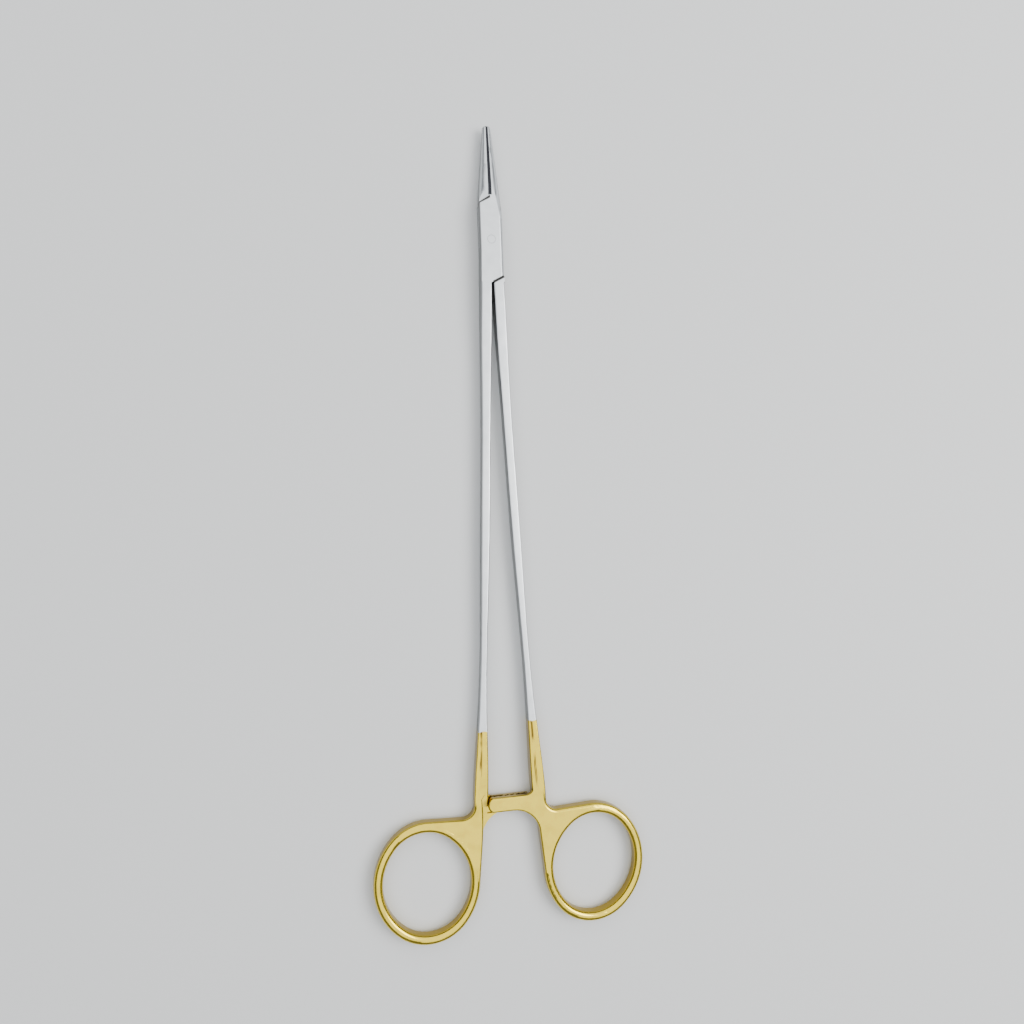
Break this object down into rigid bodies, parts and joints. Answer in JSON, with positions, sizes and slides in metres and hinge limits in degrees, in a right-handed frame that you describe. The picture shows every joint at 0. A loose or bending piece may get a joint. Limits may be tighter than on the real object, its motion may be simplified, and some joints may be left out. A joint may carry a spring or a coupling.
{
  "type": "surgical needle holder",
  "caption": "Long slim needle holder with crossed arms in a box lock, carbide-faced tapered jaws, a ratchet between the shanks and gold finger rings.",
  "frame": {"origin": "axis of the lock pin, on the plane of the flat underside of the box", "axes": "+Y from the pin to the jaw tips, +X to the side of the male arm's finger ring, +Z along the lock pin out of the upper face"},
  "size_m": [0.0784, 0.2299, 0.0054],
  "materials": {
    "satin_steel": "satin stainless steel; the ratchet, webs and finger rings are polished and gold plated",
    "tungsten_carbide": "dark grey sintered carbide with a fine cross-cut gripping face"
  },
  "bodies": {
    "female_side": {"female_arm": "satin_steel", "lock_pin": "satin_steel", "female_jaw_insert": "tungsten_carbide"},
    "male_side": {"male_arm": "satin_steel", "male_jaw_insert": "tungsten_carbide"}
  },
  "joints": [
    {"name": "box_lock", "type": "hinge", "parent": "female_side", "child": "male_side", "pos_m": [0, 0, 0.0027], "axis": [0, 0, 1], "range_deg": [0, 45]}
  ]
}
